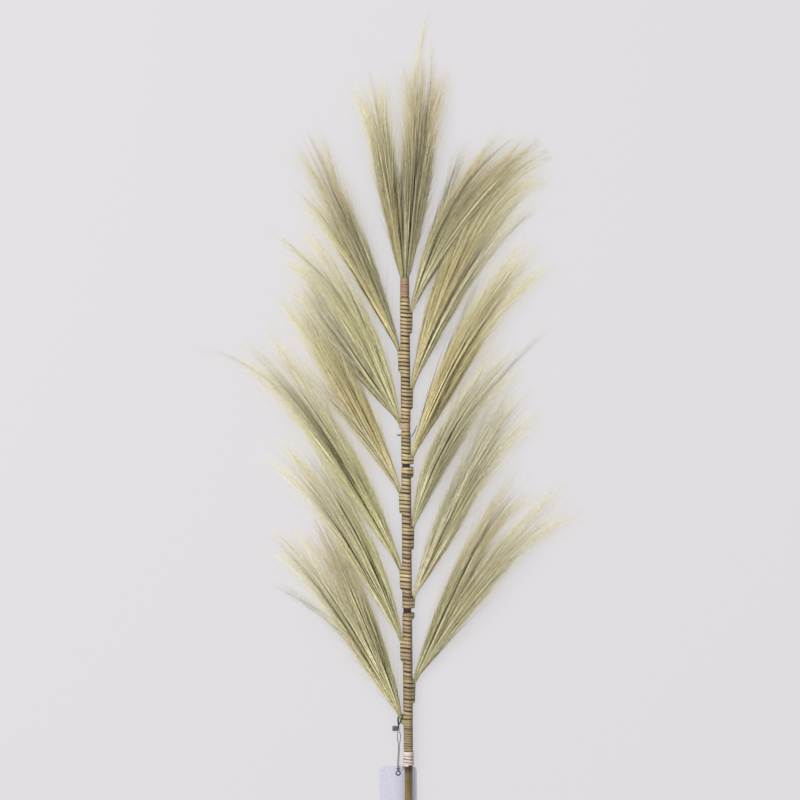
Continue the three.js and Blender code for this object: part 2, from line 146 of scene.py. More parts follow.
def framesAlong(line):
    # two crosswise directions at each point, without twisting
    heading = np.gradient(line, axis=0)
    heading /= np.linalg.norm(heading, axis=1, keepdims=True)
    across = np.cross(heading[0], [0.0, 0.0, 1.0])
    if np.linalg.norm(across) < 0.1:
        across = np.array([1.0, 0.0, 0.0])
    acrosses = []
    for way in heading:
        across = across - way * np.dot(across, way)
        across = across / np.linalg.norm(across)
        acrosses.append(across)
    acrosses = np.array(acrosses)
    return acrosses, np.cross(heading, acrosses)


def loft(rings, closed=False):
    # rings of points joined into a skin, with a lid at each end unless it is closed
    rings = np.asarray(rings, float)
    count, sides = rings.shape[:2]
    points = rings.reshape(-1, 3)
    spans = count if closed else count - 1
    ring = (np.arange(spans) * sides)[:, None]
    nextRing = ((np.arange(spans) + 1) % count * sides)[:, None]
    side = np.arange(sides)
    after = (side + 1) % sides
    quads = np.stack([ring + side, ring + after, nextRing + after, nextRing + side],
                     axis=-1).reshape(-1, 4)
    if closed:
        return points, quads, np.zeros((0, 3), int)
    middles = np.array([rings[0].mean(0), rings[-1].mean(0)])
    lid = np.full(sides, count * sides)
    last = (count - 1) * sides
    triangles = np.concatenate([np.stack([after, side, lid], axis=1),
                                np.stack([last + side, last + after, lid + 1], axis=1)])
    return np.concatenate([points, middles]), quads, triangles


def around(turn, across, up):
    # where a turn points, from across towards up
    return np.cos(turn)[..., None] * across + np.sin(turn)[..., None] * up


def tube(line, radii, sides=10, flat=1.0):
    # a round tube along a line; flat squeezes it across
    across, up = framesAlong(line)
    turn = np.linspace(0, 2 * math.pi, sides, endpoint=False)
    radii = np.broadcast_to(np.asarray(radii, float), len(line))[:, None, None]
    return loft(line[:, None] + around(turn, across[:, None], flat * up[:, None]) * radii)


def joined(parts):
    # several (points, quads, triangles) as one
    offsets = np.cumsum([0] + [len(part[0]) for part in parts])
    points = np.concatenate([part[0] for part in parts])
    quads, triangles = (np.concatenate([part[k] + offset for part, offset in zip(parts, offsets)])
                        for k in (1, 2))
    return points, quads, triangles


def newFinish(name, roughness, specular=0.3):
    material = bpy.data.materials.new(name)
    material.use_nodes = True
    nodes = material.node_tree.nodes
    shader = nodes["Principled BSDF"]
    shader.inputs["Roughness"].default_value = roughness
    shader.inputs["Specular IOR Level"].default_value = specular
    return material, nodes, material.node_tree.links, shader


def grain(nodes, links, scale, stretch, detail=4.0, roughness=0.6):
    # noise that can be drawn out along one way of the bundle
    place = nodes.new("ShaderNodeTexCoord")
    mapping = nodes.new("ShaderNodeMapping")
    mapping.inputs["Scale"].default_value = stretch
    noise = nodes.new("ShaderNodeTexNoise")
    noise.inputs["Scale"].default_value = scale
    noise.inputs["Detail"].default_value = detail
    noise.inputs["Roughness"].default_value = roughness
    links.new(place.outputs["Object"], mapping.inputs["Vector"])
    links.new(mapping.outputs["Vector"], noise.inputs["Vector"])
    return noise.outputs["Fac"]


def ramp(nodes, links, value, stops):
    # stops are (place, screen colour)
    colours = nodes.new("ShaderNodeValToRGB")
    elements = colours.color_ramp.elements
    while len(elements) < len(stops):
        elements.new(0.5)
    for element, (place, rgb) in zip(elements, stops):
        element.position = place
        element.color = (*linear(*rgb), 1)
    links.new(value, colours.inputs["Fac"])
    return colours.outputs["Color"]


def roughened(nodes, links, shader, value, strength, distance):
    # relief in the surface, distance in millimetres
    bump = nodes.new("ShaderNodeBump")
    bump.inputs["Strength"].default_value = strength
    bump.inputs["Distance"].default_value = distance * mm
    links.new(value, bump.inputs["Height"])
    links.new(bump.outputs["Normal"], shader.inputs["Normal"])


def heldTint(nodes):
    # the colour held in the mesh
    tint = nodes.new("ShaderNodeAttribute")
    tint.attribute_name = "tint"
    return tint.outputs["Color"]


def scaled(nodes, links, colour, value, fromRange, toRange):
    # a colour made darker and lighter by the value
    spread = nodes.new("ShaderNodeMapRange")
    for side, ends in (("From", fromRange), ("To", toRange)):
        spread.inputs[side + " Min"].default_value = ends[0]
        spread.inputs[side + " Max"].default_value = ends[1]
    links.new(value, spread.inputs["Value"])
    blend = nodes.new("ShaderNodeVectorMath")
    blend.operation = "SCALE"
    links.new(colour, blend.inputs[0])
    links.new(spread.outputs["Result"], blend.inputs["Scale"])
    return blend.outputs["Vector"]


even = (1.0, 1.0, 1.0)         # a grain that is not drawn out


def mottled(name, roughness, specular, grainOf, stops, relief):
    # a finish that runs between the stops with a fine grain, and has a little relief
    material, nodes, links, shader = newFinish(name, roughness, specular)
    value = grain(nodes, links, *grainOf)
    links.new(ramp(nodes, links, value, stops), shader.inputs["Base Color"])
    roughened(nodes, links, shader, value, *relief)
    return material


# The two strings run from the knot above the eyelet to the clip, and the strap goes from the
# clip round the stalk beside it and back. Routes are the bundle's own, from the eyelet's middle
# and from the clip's upper right corner.
cords = {
    "stringDiameter": 0.9,
    "strapDiameter": 1.2,
    "strapRadius": 0.95,       # half its width; it is flat by strapFlat
    "strapFlat": 0.55,
    "plyPitch": 3.4,
    "plyRadius": 0.25,
    "plyApart": 0.2,
    "left": [(-0.6, 7.6, 2.1), (-0.6, 9.5, 1.7), (-0.5, 12, 1.1), (-0.4, 15, 0.6),
             (-0.2, 18, 0.55), (0, 21, 0.55), (0.2, 24, 0.55), (0.4, 27, 0.55),
             (0.5, 30, 0.55), (0.5, 33, 0.55), (0.4, 36, 0.55), (0.1, 39, 0.55),
             (-0.3, 42, 0.55), (-0.6, 45, 0.6), (-0.7, 48, 0.8), (-0.6, 50.5, 1.1),
             (-0.5, 52.8, 1.4)],
    "right": [(0.6, 7.6, 2.1), (0.6, 9.5, 1.7), (0.7, 12, 1.1), (0.8, 15, 0.6),
              (1, 18, 0.55), (1.2, 21, 0.55), (1.4, 24, 0.55), (1.6, 27, 0.55),
              (1.7, 30, 0.55), (1.8, 33, 0.55), (2, 36, 0.55), (2.4, 39, 0.55),
              (2.9, 42, 0.55), (3.3, 45, 0.6), (3.2, 48, 0.8), (2.4, 50.6, 1.1),
              (1.4, 52.7, 1.4)],
    "strap": [(-0.8, 0.4, 1.2), (-1.1, 4, 1.3), (-1.4, 7.5, 2), (-1.2, 11, 3), (0, 14.1, 3.9),
              (2, 15.3, 4.1), (3.8, 15.1, 5), (4.3, 14.8, 7.2), (4.1, 14.5, 9.4),
              (3.6, 13.1, 11.6), (2.2, 9.5, 11.2), (0.8, 5.5, 8.8), (-0.3, 2.3, 5.9),
              (-1, 0.1, 4.5), (-1.6, -1.9, 4)],
}


greyString = mottled("grey_string", 0.8, 0.2, (900.0, (1.0, 0.35, 1.0)),
                     [(0.3, (56, 55, 60)), (0.7, (104, 103, 108))], (0.5, 0.15))
blackStrap = mottled("black_strap", 0.5, 0.35, (1400.0, even),
                     [(0.3, (22, 20, 19)), (0.72, (62, 57, 54))], (0.4, 0.1))


def twisted(line, pitch, plyRadius, apart):
    # two plies laid round each other along the line
    across, up = framesAlong(line)
    run = np.concatenate([[0], np.cumsum(np.linalg.norm(np.diff(line, axis=0), axis=1))])
    parts = []
    for half in range(2):
        turn = run / pitch * 2 * math.pi + half * math.pi
        parts.append(tube(line + apart * around(turn, across, up), plyRadius, sides=7))
    return joined(parts)


def lengthOf(line):
    return float(np.linalg.norm(np.diff(line, axis=0), axis=1).sum())


clipLow, clipHigh = boxOf("tag_clip")
eyeletLow, eyeletHigh = boxOf("tag_eyelet")
eyeletMiddle = np.array([*((eyeletLow + eyeletHigh) / 2)[:2], 0.0])
strapCorner = np.array([clipHigh[0], clipHigh[1], 0.0])
strings = {}
for half in ("left", "right"):
    # from the clip down to the knot
    line = spline(eyeletMiddle + np.array(cords[half]), 10)[::-1]
    name = "tag_string_" + half
    twine = twisted(line, cords["plyPitch"], cords["plyRadius"], cords["plyApart"])
    piece = meshPiece(name + "_twine", twine, greyString, replaces=(name,))
    strings[half] = (piece, line)
strapLine = spline(strapCorner + np.array(cords["strap"]), 8)
strap = tube(strapLine, cords["strapRadius"], sides=16, flat=cords["strapFlat"])
strap = meshPiece("tag_loop_strap", strap, blackStrap, replaces=("tag_loop",))
print("strings and strap laid,", round(lengthOf(strings["left"][1]), 1),
      round(lengthOf(strings["right"][1]), 1), round(lengthOf(strapLine), 1), "mm long")


tag = {
    "corner": 6.0,
    "thickness": 0.6,
    "edge": 0.12,          # rounding of the card's edges
    "hole": 1.9,
    "curl": 0.5,           # how far the lower corners lift
    "rings": 26,
    "rays": 192,
}


whiteCard = mottled("white_card", 0.75, 0.25, (420.0, even, 6.0),
                    [(0.3, (176, 175, 188)), (0.7, (194, 192, 204))], (0.25, 0.1))
eyeletMetal = mottled("eyelet_metal", 0.35, 0.5, (1500.0, even),
                      [(0.35, (52, 50, 56)), (0.75, (104, 102, 110))], (0.3, 0.05))
eyeletMetal.node_tree.nodes["Principled BSDF"].inputs["Metallic"].default_value = 0.7
darkClip = mottled("dark_clip", 0.42, 0.4, (700.0, even),
                   [(0.3, (62, 62, 64)), (0.75, (104, 105, 106))], (0.3, 0.08))


def makeTag():
    low, high = boxOf("hang_tag")
    middle = (low + high) / 2
    halfX, halfY = (high - low)[:2] / 2
    rays = np.linspace(0, 2 * math.pi, tag["rays"], endpoint=False)
    # the rounded outline as seen from the eyelet
    outline = []
    corner = tag["corner"]
    for turn in rays:
        way = np.array([math.cos(turn), math.sin(turn)])
        near, far = 0.0, 200.0
        for _ in range(40):
            reachOut = (near + far) / 2
            spot = np.abs(eyeletMiddle[:2] + way * reachOut - middle[:2])
            beyond = np.maximum(spot - (np.array([halfX, halfY]) - corner), 0)
            inside = math.hypot(*beyond) <= corner and (spot <= [halfX, halfY]).all()
            near, far = (reachOut, far) if inside else (near, reachOut)
        outline.append(way * near)
    outline = np.array(outline)
    hole = np.stack([np.cos(rays), np.sin(rays)], axis=1) * tag["hole"]
    inward = outline / np.linalg.norm(outline, axis=1, keepdims=True)
    edge, thick = tag["edge"], tag["thickness"]
    profile = [(s, 0.0, thick) for s in np.linspace(0, 1, tag["rings"]) ** 0.8]
    profile[-1] = (1.0, -edge, thick)
    profile += [(1.0, -edge * 0.3, thick - edge * 0.3), (1.0, 0.0, thick - edge),
                (1.0, 0.0, edge), (1.0, -edge * 0.3, edge * 0.3), (1.0, -edge, 0.0)]
    profile += [(s, 0.0, 0.0) for s in np.linspace(1, 0, tag["rings"])[1:] ** 0.8]
    rings = []
    for share, shift, height in profile:
        flat = hole + (outline - hole) * share + inward * shift + eyeletMiddle[:2]
        fromTop = np.clip((high[1] - flat[:, 1]) / (high[1] - low[1]), 0, 1)
        besides = np.abs(flat[:, 0] - middle[0]) / halfX
        lift = tag["curl"] * fromTop ** 3 * besides ** 2
        rings.append(np.column_stack([flat, height + lift + 0.02]))
    return meshPiece("hang_tag_card", loft(np.array(rings)[:, ::-1], closed=True), whiteCard,
                     replaces=("hang_tag",))


def makeEyelet():
    radius = (eyeletHigh[0] - eyeletLow[0]) / 2
    top = eyeletHigh[2]
    # a rolled rim outside, sloping down into the barrel
    profile = [(radius - 0.35, 0.62), (radius, 0.72), (radius + 0.02, 0.95), (radius - 0.25, 1.22),
               (radius - 0.7, top), (radius - 1.1, top - 0.06), (1.75, 1.1), (1.6, 0.8),
               (1.6, 0.1), (1.85, 0.05), (1.85, 0.62)]
    turn = np.linspace(0, 2 * math.pi, 72, endpoint=False)
    rings = np.array([[(eyeletMiddle[0] + r * math.cos(a), eyeletMiddle[1] + r * math.sin(a), z)
                       for a in turn] for r, z in profile])
    return meshPiece("tag_eyelet_ring", loft(rings[:, ::-1], closed=True), eyeletMetal,
                     replaces=("tag_eyelet",))


knotShape = {
    "inside": 0.42,            # how far the line keeps inside the knot's box
    "twists": 9,
    "plyRadius": 0.3,
    "plyApart": 0.18,
}


def makeKnot():
    low, high = boxOf("string_knot")
    middle, half = (low + high) / 2, (high - low) / 2
    turn = np.linspace(0, 2 * math.pi, 90, endpoint=False)
    shape = np.stack([np.sin(turn) + 2 * np.sin(2 * turn), np.cos(turn) - 2 * np.cos(2 * turn),
                      -np.sin(3 * turn)], axis=1)
    shape *= (half - knotShape["inside"]) / np.abs(shape).max(axis=0)
    line = middle + shape
    ways = np.roll(line, -1, axis=0) - np.roll(line, 1, axis=0)
    ways /= np.linalg.norm(ways, axis=1, keepdims=True)
    across = np.cross(ways, [0.0, 0.0, 1.0])
    across /= np.linalg.norm(across, axis=1, keepdims=True)
    up = np.cross(ways, across)
    ringTurn = np.linspace(0, 2 * math.pi, 8, endpoint=False)
    ring = around(ringTurn, across[:, None], up[:, None]) * knotShape["plyRadius"]
    parts = []
    for ply in range(2):
        twist = knotShape["twists"] * turn + ply * math.pi
        plyLine = line + knotShape["plyApart"] * around(twist, across, up)
        parts.append(loft(plyLine[:, None] + ring, closed=True))
    return meshPiece("string_knot_twine", joined(parts), greyString,
                     replaces=("string_knot",))


def roundedBlock(low, high, rounding):
    # a block with well rounded edges, its rings stacked along x
    low, high = np.array(low, float), np.array(high, float)
    turn = np.linspace(0, 2 * math.pi, 40, endpoint=False)
    middleY, middleZ = (low[1] + high[1]) / 2, (low[2] + high[2]) / 2
    halfY, halfZ = (high[1] - low[1]) / 2, (high[2] - low[2]) / 2
    steps = np.concatenate([1 - np.cos(np.linspace(0, math.pi / 2, 6)),
                            [1.0]]) * rounding
    stations = [(low[0] + s, rounding - math.sqrt(max(rounding ** 2 - (rounding - s) ** 2, 0)))
                for s in steps]
    stations += [(high[0] - (x - low[0]), inset) for x, inset in stations[::-1]]
    rings = []
    for x, inset in stations:
        y = np.sign(np.cos(turn)) * np.abs(np.cos(turn)) ** 0.3 * (halfY - inset)
        z = np.sign(np.sin(turn)) * np.abs(np.sin(turn)) ** 0.3 * (halfZ - inset)
        rings.append(np.stack([np.full(40, x), middleY + y, middleZ + z], axis=1))
    return loft(rings)


clipShape = {
    "seam": 5.6,               # where its two halves meet
    "ribs": (1.5, 2.5, 3.5),
    "ribWidth": 0.5,
    "ribInset": 1.0,
}


def makeClip():
    low, high = clipLow, clipHigh
    seam = low[0] + clipShape["seam"]
    parts = [
        roundedBlock(low, (seam, high[1], high[2]), 0.55),
        roundedBlock((seam - 0.2, low[1] + 0.5, 0.3), (seam + 0.5, high[1] - 0.5, high[2] - 0.4), 0.2),
        roundedBlock((seam + 0.3, low[1] + 0.15, 0.0), (high[0], high[1] - 0.15, high[2] - 0.2), 0.5),
    ]
    inset = clipShape["ribInset"]
    for rib in clipShape["ribs"]:
        x = low[0] + rib
        parts.append(roundedBlock((x, low[1] + inset, high[2] - 0.35),
                                  (x + clipShape["ribWidth"], high[1] - inset, high[2] + 0.15),
                                  0.15))
    return meshPiece("tag_clip_block", joined(parts), darkClip,
                     replaces=("tag_clip",))


makeTag()
eyelet = makeEyelet()
knot = makeKnot()
clip = makeClip()
for half, others in (("left", [knot, eyelet]), ("right", [])):
    piece, line = strings[half]
print("tag hung")


# A tuft starts at the plume's neck and runs for its length at its lean. lean and curl are in
# degrees, and fullest is the share of the length where halfWidth is reached. A larger bend puts
# the curl nearer the tip. tone names a mix in grassTones, shade is how much painted shade
# darkens the right flank, and lift makes it all lighter. neck is the fan's radius at its start,
# reach stretches the longest strands, and a wisp is a few thin strands. bound is how far the wrap
# goes over the plume's stalk.
def tuft(length, lean, curl, bend, halfWidth, fullest, tone, shade, **more):
    return {"length": length, "lean": lean, "curl": curl, "bend": bend, "halfWidth": halfWidth,
            "fullest": fullest, "tone": tone, "shade": shade, **more}


plumes = {
    "plume_top_left": {"side": -1, "tufts": [
        tuft(262, 8, 7, 3, 13.8, 0.55, "golden", 0.9, neck=3, lift=0.75),
    ]},
    "plume_top_right": {"side": 1, "tufts": [
        tuft(275, 6, -1, 2, 20, 0.6, "olive", 0.9, neck=3, lift=0.8),
        tuft(336, 2.2, 14, 4, 5, 0.6, "golden", 0.5, reach=1.12, lift=0.85, wisp=True),
        tuft(306, 8.4, -8, 4, 5, 0.6, "golden", 0.3, reach=1.1, lift=0.85, wisp=True),
    ]},
    "plume_left_1": {"side": -1, "bound": 30, "tufts": [
        tuft(302, 21.3, 4, 1, 13.8, 0.5, "olive", 0.5, lift=0.9),
        tuft(240, 25.9, 20, 2, 7.5, 0.45, "golden", 0.1, lift=1.1),
    ]},
    "plume_left_2": {"side": -1, "bound": 12, "tufts": [
        tuft(277, 22.8, 41, 3, 18.8, 0.35, "green", 0.4, lift=1.3),
        tuft(232, 35.8, -3.6, 1, 13.8, 0.43, "straw", 0.2, lift=0.9),
        tuft(330, 25, 52, 3, 2, 0.5, "straw", 0.2, wisp=True),
    ]},
    "plume_left_3": {"side": -1, "bound": 30, "tufts": [
        tuft(302, 27.3, -0.7, 1, 17.5, 0.44, "golden", 0.2, lift=1.25),
        tuft(242, 28.7, 24, 1, 6.2, 0.4, "pale", 0.1, lift=0.95),
    ]},
    "plume_left_4": {"side": -1, "bound": 30, "tufts": [
        tuft(354, 26.9, 21.5, 2, 18.8, 0.45, "green", 0.3, lift=1.2),
        tuft(390, 30.1, 50, 3, 2, 0.5, "grey", 0.1, reach=1.14, wisp=True),
    ]},
    "plume_left_5": {"side": -1, "bound": 30, "tufts": [
        tuft(310, 26.6, 23.5, 2, 11.2, 0.45, "straw", 0.1, lift=1.35),
        tuft(295, 17.2, 21.3, 1, 12.5, 0.35, "green", 0.4, lift=1.15),
    ]},
    "plume_left_6": {"side": -1, "bound": 12, "tufts": [
        tuft(285, 27.2, 20.3, 2, 16.2, 0.56, "straw", 0.2, lift=1.2),
        tuft(269, 19.3, 6.4, 1, 15, 0.44, "olive", 0.3, lift=1.15),
        tuft(263, 24, 44, 1, 3.8, 0.5, "grey", 0.4, wisp=True),
    ]},
    "plume_right_1": {"side": 1, "bound": 30, "tufts": [
        tuft(255, 18.9, 38.4, 2, 12.5, 0.6, "olive", 0.5),
        tuft(271, 23.3, 28.4, 1, 10, 0.5, "olive", 0.6, lift=0.95),
        tuft(254, 17.4, 4, 2, 7, 0.6, "grey", 0.3, lift=0.8, wisp=True),
    ]},
    "plume_right_2": {"side": 1, "bound": 30, "tufts": [
        tuft(350, 19.3, 48.2, 3, 18.8, 0.42, "golden", 0.5),
        tuft(289, 20.3, 21.3, 1, 11.2, 0.44, "straw", 0.4, lift=1.05),
        tuft(332, 27.6, 33.4, 2, 2, 0.5, "grey", 0.3, wisp=True),
    ]},
    "plume_right_3": {"side": 1, "bound": 30, "tufts": [
        tuft(313, 24.9, 23.8, 2, 17.5, 0.46, "golden", 0.5, lift=1.2),
        tuft(266, 19.2, 9.4, 2, 3.5, 0.6, "grey", 0.3, wisp=True),
    ]},
    "plume_right_4": {"side": 1, "bound": 30, "tufts": [
        tuft(263, 16.2, 29.2, 1, 17.5, 0.5, "straw", 0.6, lift=0.9),
        tuft(349, 21.4, 30.7, 1, 2.5, 0.5, "grey", 0.3, wisp=True),
    ]},
    "plume_right_5": {"side": 1, "bound": 30, "tufts": [
        tuft(291, 21.6, 14.4, 2, 10, 0.5, "grey", 0.6, lift=1.5),
        tuft(302, 26, 22.3, 3, 17.5, 0.5, "straw", 0.5, lift=1.05),
    ]},
    "plume_right_6": {"side": 1, "bound": 30, "tufts": [
        tuft(299, 24, 26.1, 3, 11.2, 0.32, "olive", 0.5, lift=1.1),
        tuft(320, 32.8, 28.3, 2, 15, 0.45, "straw", 0.6),
    ]},
}

# The colours in a tuft: light and mid strands, the dark ones that make random dark streaks and
# also the painted shade deep inside and on the shaded flank, the neck and the tips.
def toneMix(light, mid, dark, neck, tip):
    return {"light": light, "mid": mid, "dark": dark, "neck": neck, "tip": tip}


grassTones = {
    "olive": toneMix((226, 218, 178), (174, 167, 122), (46, 41, 20), (196, 188, 140), (226, 214, 174)),
    "green": toneMix((230, 224, 180), (190, 185, 134), (58, 53, 28), (200, 192, 144), (242, 236, 206)),
    "golden": toneMix((236, 223, 175), (199, 186, 133), (62, 50, 23), (204, 196, 142), (240, 233, 196)),
    "straw": toneMix((238, 230, 190), (204, 196, 150), (72, 65, 38), (206, 196, 148), (244, 238, 212)),
    "pale": toneMix((244, 236, 200), (222, 211, 166), (110, 98, 64), (210, 200, 152), (246, 241, 220)),
    "grey": toneMix((222, 217, 188), (170, 166, 136), (62, 58, 40), (196, 188, 148), (228, 224, 210)),
}


def grassFinish():
    material, nodes, links, shader = newFinish("dry_grass_hair", 0.6, 0.2)
    speck = grain(nodes, links, 260.0, even, detail=3.0)
    colour = scaled(nodes, links, heldTint(nodes), speck, (0.3, 0.7), (0.84, 1.12))
    links.new(colour, shader.inputs["Base Color"])
    return material


grassHair = grassFinish()


# Each wrap is one strip wound up the stick and over the stalks laid against it. Its pitch is how
# far it climbs in a turn, crown how much the strip stands proud in its middle, vary how much its
# turns differ in tone, and the groove shade how much painted shade darkens its edges between turns.
def wrap(pitch, crown, colour, vary, grooveShade):
    return {"pitch": pitch, "crown": crown, "colour": colour, "vary": vary, "grooveShade": grooveShade}


wraps = {
    "binding_collar": wrap(3.1, 0.22, (158, 127, 102), 0.06, 0.35),
    "binding_6": wrap(4.7, 0.72, (178, 156, 116), 0.18, 0.86),
    "binding_5": wrap(3.6, 0.16, (172, 146, 112), 0.04, 0.2),
    "binding_4": wrap(4.6, 0.72, (176, 156, 114), 0.18, 0.88),
    "binding_3": wrap(4.8, 0.76, (170, 149, 113), 0.18, 0.76),
    "binding_2": wrap(4.9, 0.72, (162, 141, 106), 0.16, 0.7),
    "binding_1": wrap(3.1, 0.35, (152, 137, 102), 0.1, 0.55),
}
winding = {
    "core": 5.4,               # radius the strip lies on round the stick
    "stalk": 1.6,              # and round a stalk
    "atButt": 6.5,             # how far out a stalk's middle is at its butt
    "atNeck": 7.5,
    "passing": 1.5,            # more for the stalk that the strap goes round
    "ramp": 4.0,
    "overlap": 1.02,           # width of the strip in pitches
    "edge": 0.12,              # the strip's half thickness at its edges
    "sway": 0.07,              # how unevenly it is wound
    "swell": 0.05,
    "sunk": -0.14,             # the level turns at both ends lie under the others
    "topPoints": 13,           # points across the strip's upper face
    "stepsInTurn": 44,
    "stalkColour": (168, 160, 122),
    # shaded is painted shade that darkens the right flank of every wrap
    "shaded": 0.35,            # how much darker the right flank is
}


def passingBy(name):
    return winding["passing"] if name == "plume_left_6" else 0.0


def stalksBeside():
    # side, foot, neck and how much further out each bound stalk runs
    stalks = []
    for name, plume in plumes.items():
        if "bound" in plume:
            foot = boxOf(name)[0][1]
            stalks.append((plume["side"], foot, foot + plume["bound"], passingBy(name)))
    return stalks


def windStrip(look, low, high, stalks, core, random, lead=1.0):
    # the strip's cross-section carried round the outline of stick and stalks, with lead turns
    # laid level at both ends
    pitch = look["pitch"]
    width = pitch * winding["overlap"]
    climb = (high - low - width) / pitch
    turns = climb + 2 * lead
    turn = np.linspace(0, turns, int(turns * winding["stepsInTurn"]) + 1)
    angle = math.pi / 2 + turn * 2 * math.pi
    knots = np.arange(0, turns + 2, 0.5)
    sway = np.interp(turn, knots, random.normal(0, winding["sway"], len(knots))) * pitch
    swell = np.interp(turn, knots, random.normal(0, winding["swell"], len(knots)))
    plump = 0.9 + 0.2 * np.interp(turn, knots, random.uniform(0, 1, len(knots)))
    free = smoothStep(lead, lead + 1, turn)
    free = free * (1 - smoothStep(turns - lead - 1, turns - lead, turn))
    height = low + width / 2 + np.clip(turn - lead, 0, climb) * pitch + sway * free
    # across the strip: crowned on top with a few ridges, flat underneath
    u = np.concatenate([np.linspace(-1, 1, winding["topPoints"]), [0.9, 0.0, -0.9]])
    top = np.arange(len(u)) < winding["topPoints"]
    ridges = 0.07 * np.cos(u * 9.0) + 0.05 * np.cos(u * 17.0 + 1.0)
    crown = look["crown"] * (1 - 0.85 * np.abs(u) ** 2.6 + 0.8 * ridges)
    thick = np.where(top, winding["edge"] + crown, -winding["edge"])
    sunk = np.where((turn < lead) | (turn > turns - lead), winding["sunk"], 0.0)
    offset = thick[None, :] * plump[:, None] + sunk[:, None]
    y = height[:, None] + u[None, :] * (width / 2) * (1 + swell * free)[:, None]
    # the strip lies on whichever of the stick and the stalks stands furthest out
    furthest = np.full(y.shape, core)
    outX = np.zeros(y.shape)
    outR = np.full(y.shape, core)
    cosine = np.cos(angle)[:, None]
    for side, foot, neck, out in stalks:
        ease = smoothStep(foot - 0.5, foot + winding["ramp"], y)
        ease = ease * (1 - smoothStep(neck - 0.2, neck + 0.6, y))
        share = np.clip((y - foot) / (neck - foot), 0, 1)
        middle = side * (winding["atButt"] + out
                         + (winding["atNeck"] - winding["atButt"]) * share)
        middle = middle * (0.55 + 0.45 * ease)
        size = winding["stalk"] * ease
        support = middle * cosine + size
        better = (support > furthest) & (ease > 0.02)
        furthest = np.where(better, support, furthest)
        outX = np.where(better, middle, outX)
        outR = np.where(better, size, outR)
    x = outX + (outR + offset) * cosine
    z = axisHeight + (outR + offset) * np.sin(angle)[:, None]
    skin = loft(np.stack([x, y, np.maximum(z, 0.12)], axis=2)[:, ::-1])
    # lighter and darker from turn to turn, painted shade in the grooves and on the right flank, greyer
    # over the stalks
    everyTurn = np.arange(0, turns + 2, 1.0)
    tones = np.interp(turn, everyTurn, random.normal(0, look["vary"], len(everyTurn)))
    base = linear(*look["colour"])[None, None, :]
    over = smoothStep(0.5, 4.0, np.abs(outX) - 2.5)[:, :, None] * 0.6
    base = base + (linear(*winding["stalkColour"]) - base) * over
    # painted shade: the strip's edges are darkened in the grooves between turns
    grooveShade = 1 - look["grooveShade"] * smoothStep(0.3, 0.9, np.abs(u))
    # painted shade: the turns are darker on the right flank, away from the light
    shaded = 1 - winding["shaded"] * smoothStep(0.0, 0.9, np.cos(angle))
    tint = base * ((1 + tones) * shaded)[:, None, None] * grooveShade[None, :, None]
    tint = tint[:, ::-1].reshape(-1, 3)
    return skin, np.concatenate([tint, tint[:1], tint[-1:]])


def raffiaFinish():
    material, nodes, links, shader = newFinish("raffia", 0.62, 0.3)
    fibre = grain(nodes, links, 210.0, (0.35, 5.0, 0.35), detail=5.0)
    colour = scaled(nodes, links, heldTint(nodes), fibre, (0.3, 0.7), (0.74, 1.18))
    links.new(colour, shader.inputs["Base Color"])
    roughened(nodes, links, shader, fibre, 0.5, 0.25)
    return material


raffiaSkin = raffiaFinish()


def makeWraps():
    random = np.random.default_rng(41)
    stalks = stalksBeside()
    for name, look in wraps.items():
        low, high = boxOf(name)
        strip, tint = windStrip(look, low[1], high[1], stalks, winding["core"], random)
        meshPiece(name + "_strip", strip, raffiaSkin, replaces=(name,), tint=tint)
    print("raffia wound")


band = {
    "look": wrap(3.75, 1.05, (206, 192, 182), 0.05, 0.5),
    "core": 5.75,
    "lead": 0.6,               # turns laid level at each end
    "loose": [(-6.5, 274.2, 6.0), (-7.6, 272.6, 5.2), (-8.6, 270.4, 4.2), (-9.0, 268.2, 3.3)],
    "looseRadii": (1.3, 0.8),
}


def makeBand():
    random = np.random.default_rng(7)
    low, high = boxOf("white_band")
    strip, tint = windStrip(band["look"], low[1], high[1], [], band["core"], random,
                            lead=band["lead"])
    line = spline(band["loose"], 6)
    loose = tube(line, np.linspace(*band["looseRadii"], len(line)), sides=12, flat=0.45)
    plain = np.tile(linear(*band["look"]["colour"]), (len(loose[0]), 1))
    meshPiece("white_band_strip", joined([strip, loose]), raffiaSkin,
              replaces=("white_band",), tint=np.concatenate([tint, plain]))
    print("white band tied")


stick = {
    "ridge": 0.1,              # lengthwise ribs
    "sway": 0.12,
    "knots": [(255.0, 1.9, 0.35), (118.0, 4.2, 0.3), (46.0, 0.6, 0.25)],   # height, turn, swell
    "knotSize": 5.0,
    # painted shade: the stick is made dark and brown under the wraps and just below the band
    "coveredShade": (0.22, 0.09, 0.07),   # how dark and brown it is under the wraps
    "fade": 14.0,
    "sides": 72,
    "step": 2.5,
}


def stickFinish():
    material, nodes, links, shader = newFinish("olive_stick", 0.55, 0.35)
    fine = grain(nodes, links, 420.0, (1.0, 0.05, 1.0), detail=6.0)
    colour = ramp(nodes, links, fine, [(0.3, (78, 62, 32)), (0.5, (104, 87, 46)),
                                       (0.72, (136, 118, 72))])
    blotch = grain(nodes, links, 60.0, (1.0, 0.3, 1.0), detail=3.0)
    colour = scaled(nodes, links, colour, blotch, (0.35, 0.65), (0.72, 1.08))
    darkened = nodes.new("ShaderNodeVectorMath")
    darkened.operation = "MULTIPLY"
    links.new(colour, darkened.inputs[0])
    links.new(heldTint(nodes), darkened.inputs[1])
    links.new(darkened.outputs["Vector"], shader.inputs["Base Color"])
    roughened(nodes, links, shader, fine, 0.5, 0.3)
    return material


